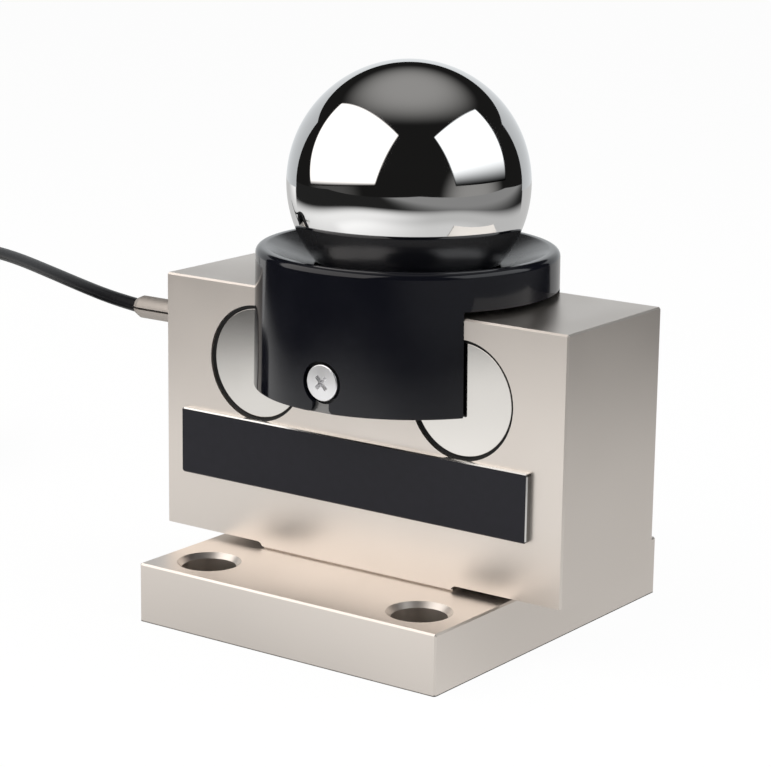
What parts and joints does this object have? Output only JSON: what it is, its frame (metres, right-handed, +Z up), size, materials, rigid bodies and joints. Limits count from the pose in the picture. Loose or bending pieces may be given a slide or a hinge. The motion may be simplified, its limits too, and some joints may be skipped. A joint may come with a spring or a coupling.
{
  "type": "weighing load cell",
  "caption": "Bridge type weighing load cell: a deep steel beam on a bolted foot plate, a load ball in a black dust sleeve, covered gauge pockets and a coiled signal cable.",
  "frame": {"origin": "middle of the foot plate's underside", "axes": "+X along the beam towards the end without the cable, -Y out of the face with the nameplate, +Z up through the load ball"},
  "size_m": [0.4367, 0.1587, 0.185],
  "materials": {
    "body_nickel": "satin nickel plate over machined steel",
    "seat_steel": "ground hardened steel",
    "ball_chrome": "mirror polished bearing steel",
    "sleeve_black": "glossy black moulding",
    "screw_zinc": "bright zinc plate",
    "plate_black": "black face with a bright bevelled edge",
    "gland_nickel": "nickel plate",
    "seal_rubber": "black sealing compound",
    "cover_steel": "smooth satin steel",
    "cable_black": "satin PVC jacket",
    "tie_nylon": "black nylon",
    "board_green": "solder mask",
    "spacer_brass": "turned brass",
    "resistor_dark": "chip resistor glaze",
    "gauge_foil": "polyimide foil",
    "lead_enamel": "enamelled wire",
    "wire_black": "insulation",
    "wire_green": "insulation",
    "wire_shield": "twisted tinned braid",
    "wire_white": "insulation",
    "wire_red": "insulation"
  },
  "bodies": {
    "root": {"spring_element": "body_nickel", "ball_seat": "seat_steel", "load_ball": "ball_chrome", "dust_sleeve": "sleeve_black", "sleeve_screw_front": "screw_zinc", "sleeve_screw_rear": "screw_zinc", "nameplate": "plate_black", "cable_gland": "gland_nickel", "gland_bush": "seal_rubber", "cable_inner_run": "cable_black", "cable_lead": "cable_black", "cable_coil": "cable_black", "cable_tail": "cable_black", "coil_tie": "tie_nylon", "compensation_board": "board_green", "board_spacers": "spacer_brass", "trim_resistors": "resistor_dark", "pocket_cover_front_left": "cover_steel", "pocket_seal_front_left": "seal_rubber", "strain_gauge_front_left": "gauge_foil", "gauge_lead_front_left": "lead_enamel", "pocket_cover_front_right": "cover_steel", "pocket_seal_front_right": "seal_rubber", "strain_gauge_front_right": "gauge_foil", "gauge_lead_front_right": "lead_enamel", "pocket_cover_rear_left": "cover_steel", "pocket_seal_rear_left": "seal_rubber", "strain_gauge_rear_left": "gauge_foil", "gauge_lead_rear_left": "lead_enamel", "pocket_cover_rear_right": "cover_steel", "pocket_seal_rear_right": "seal_rubber", "strain_gauge_rear_right": "gauge_foil", "gauge_lead_rear_right": "lead_enamel", "wire_black": "wire_black", "wire_green": "wire_green", "wire_shield": "wire_shield", "wire_white": "wire_white", "wire_red": "wire_red"}
  },
  "joints": []
}
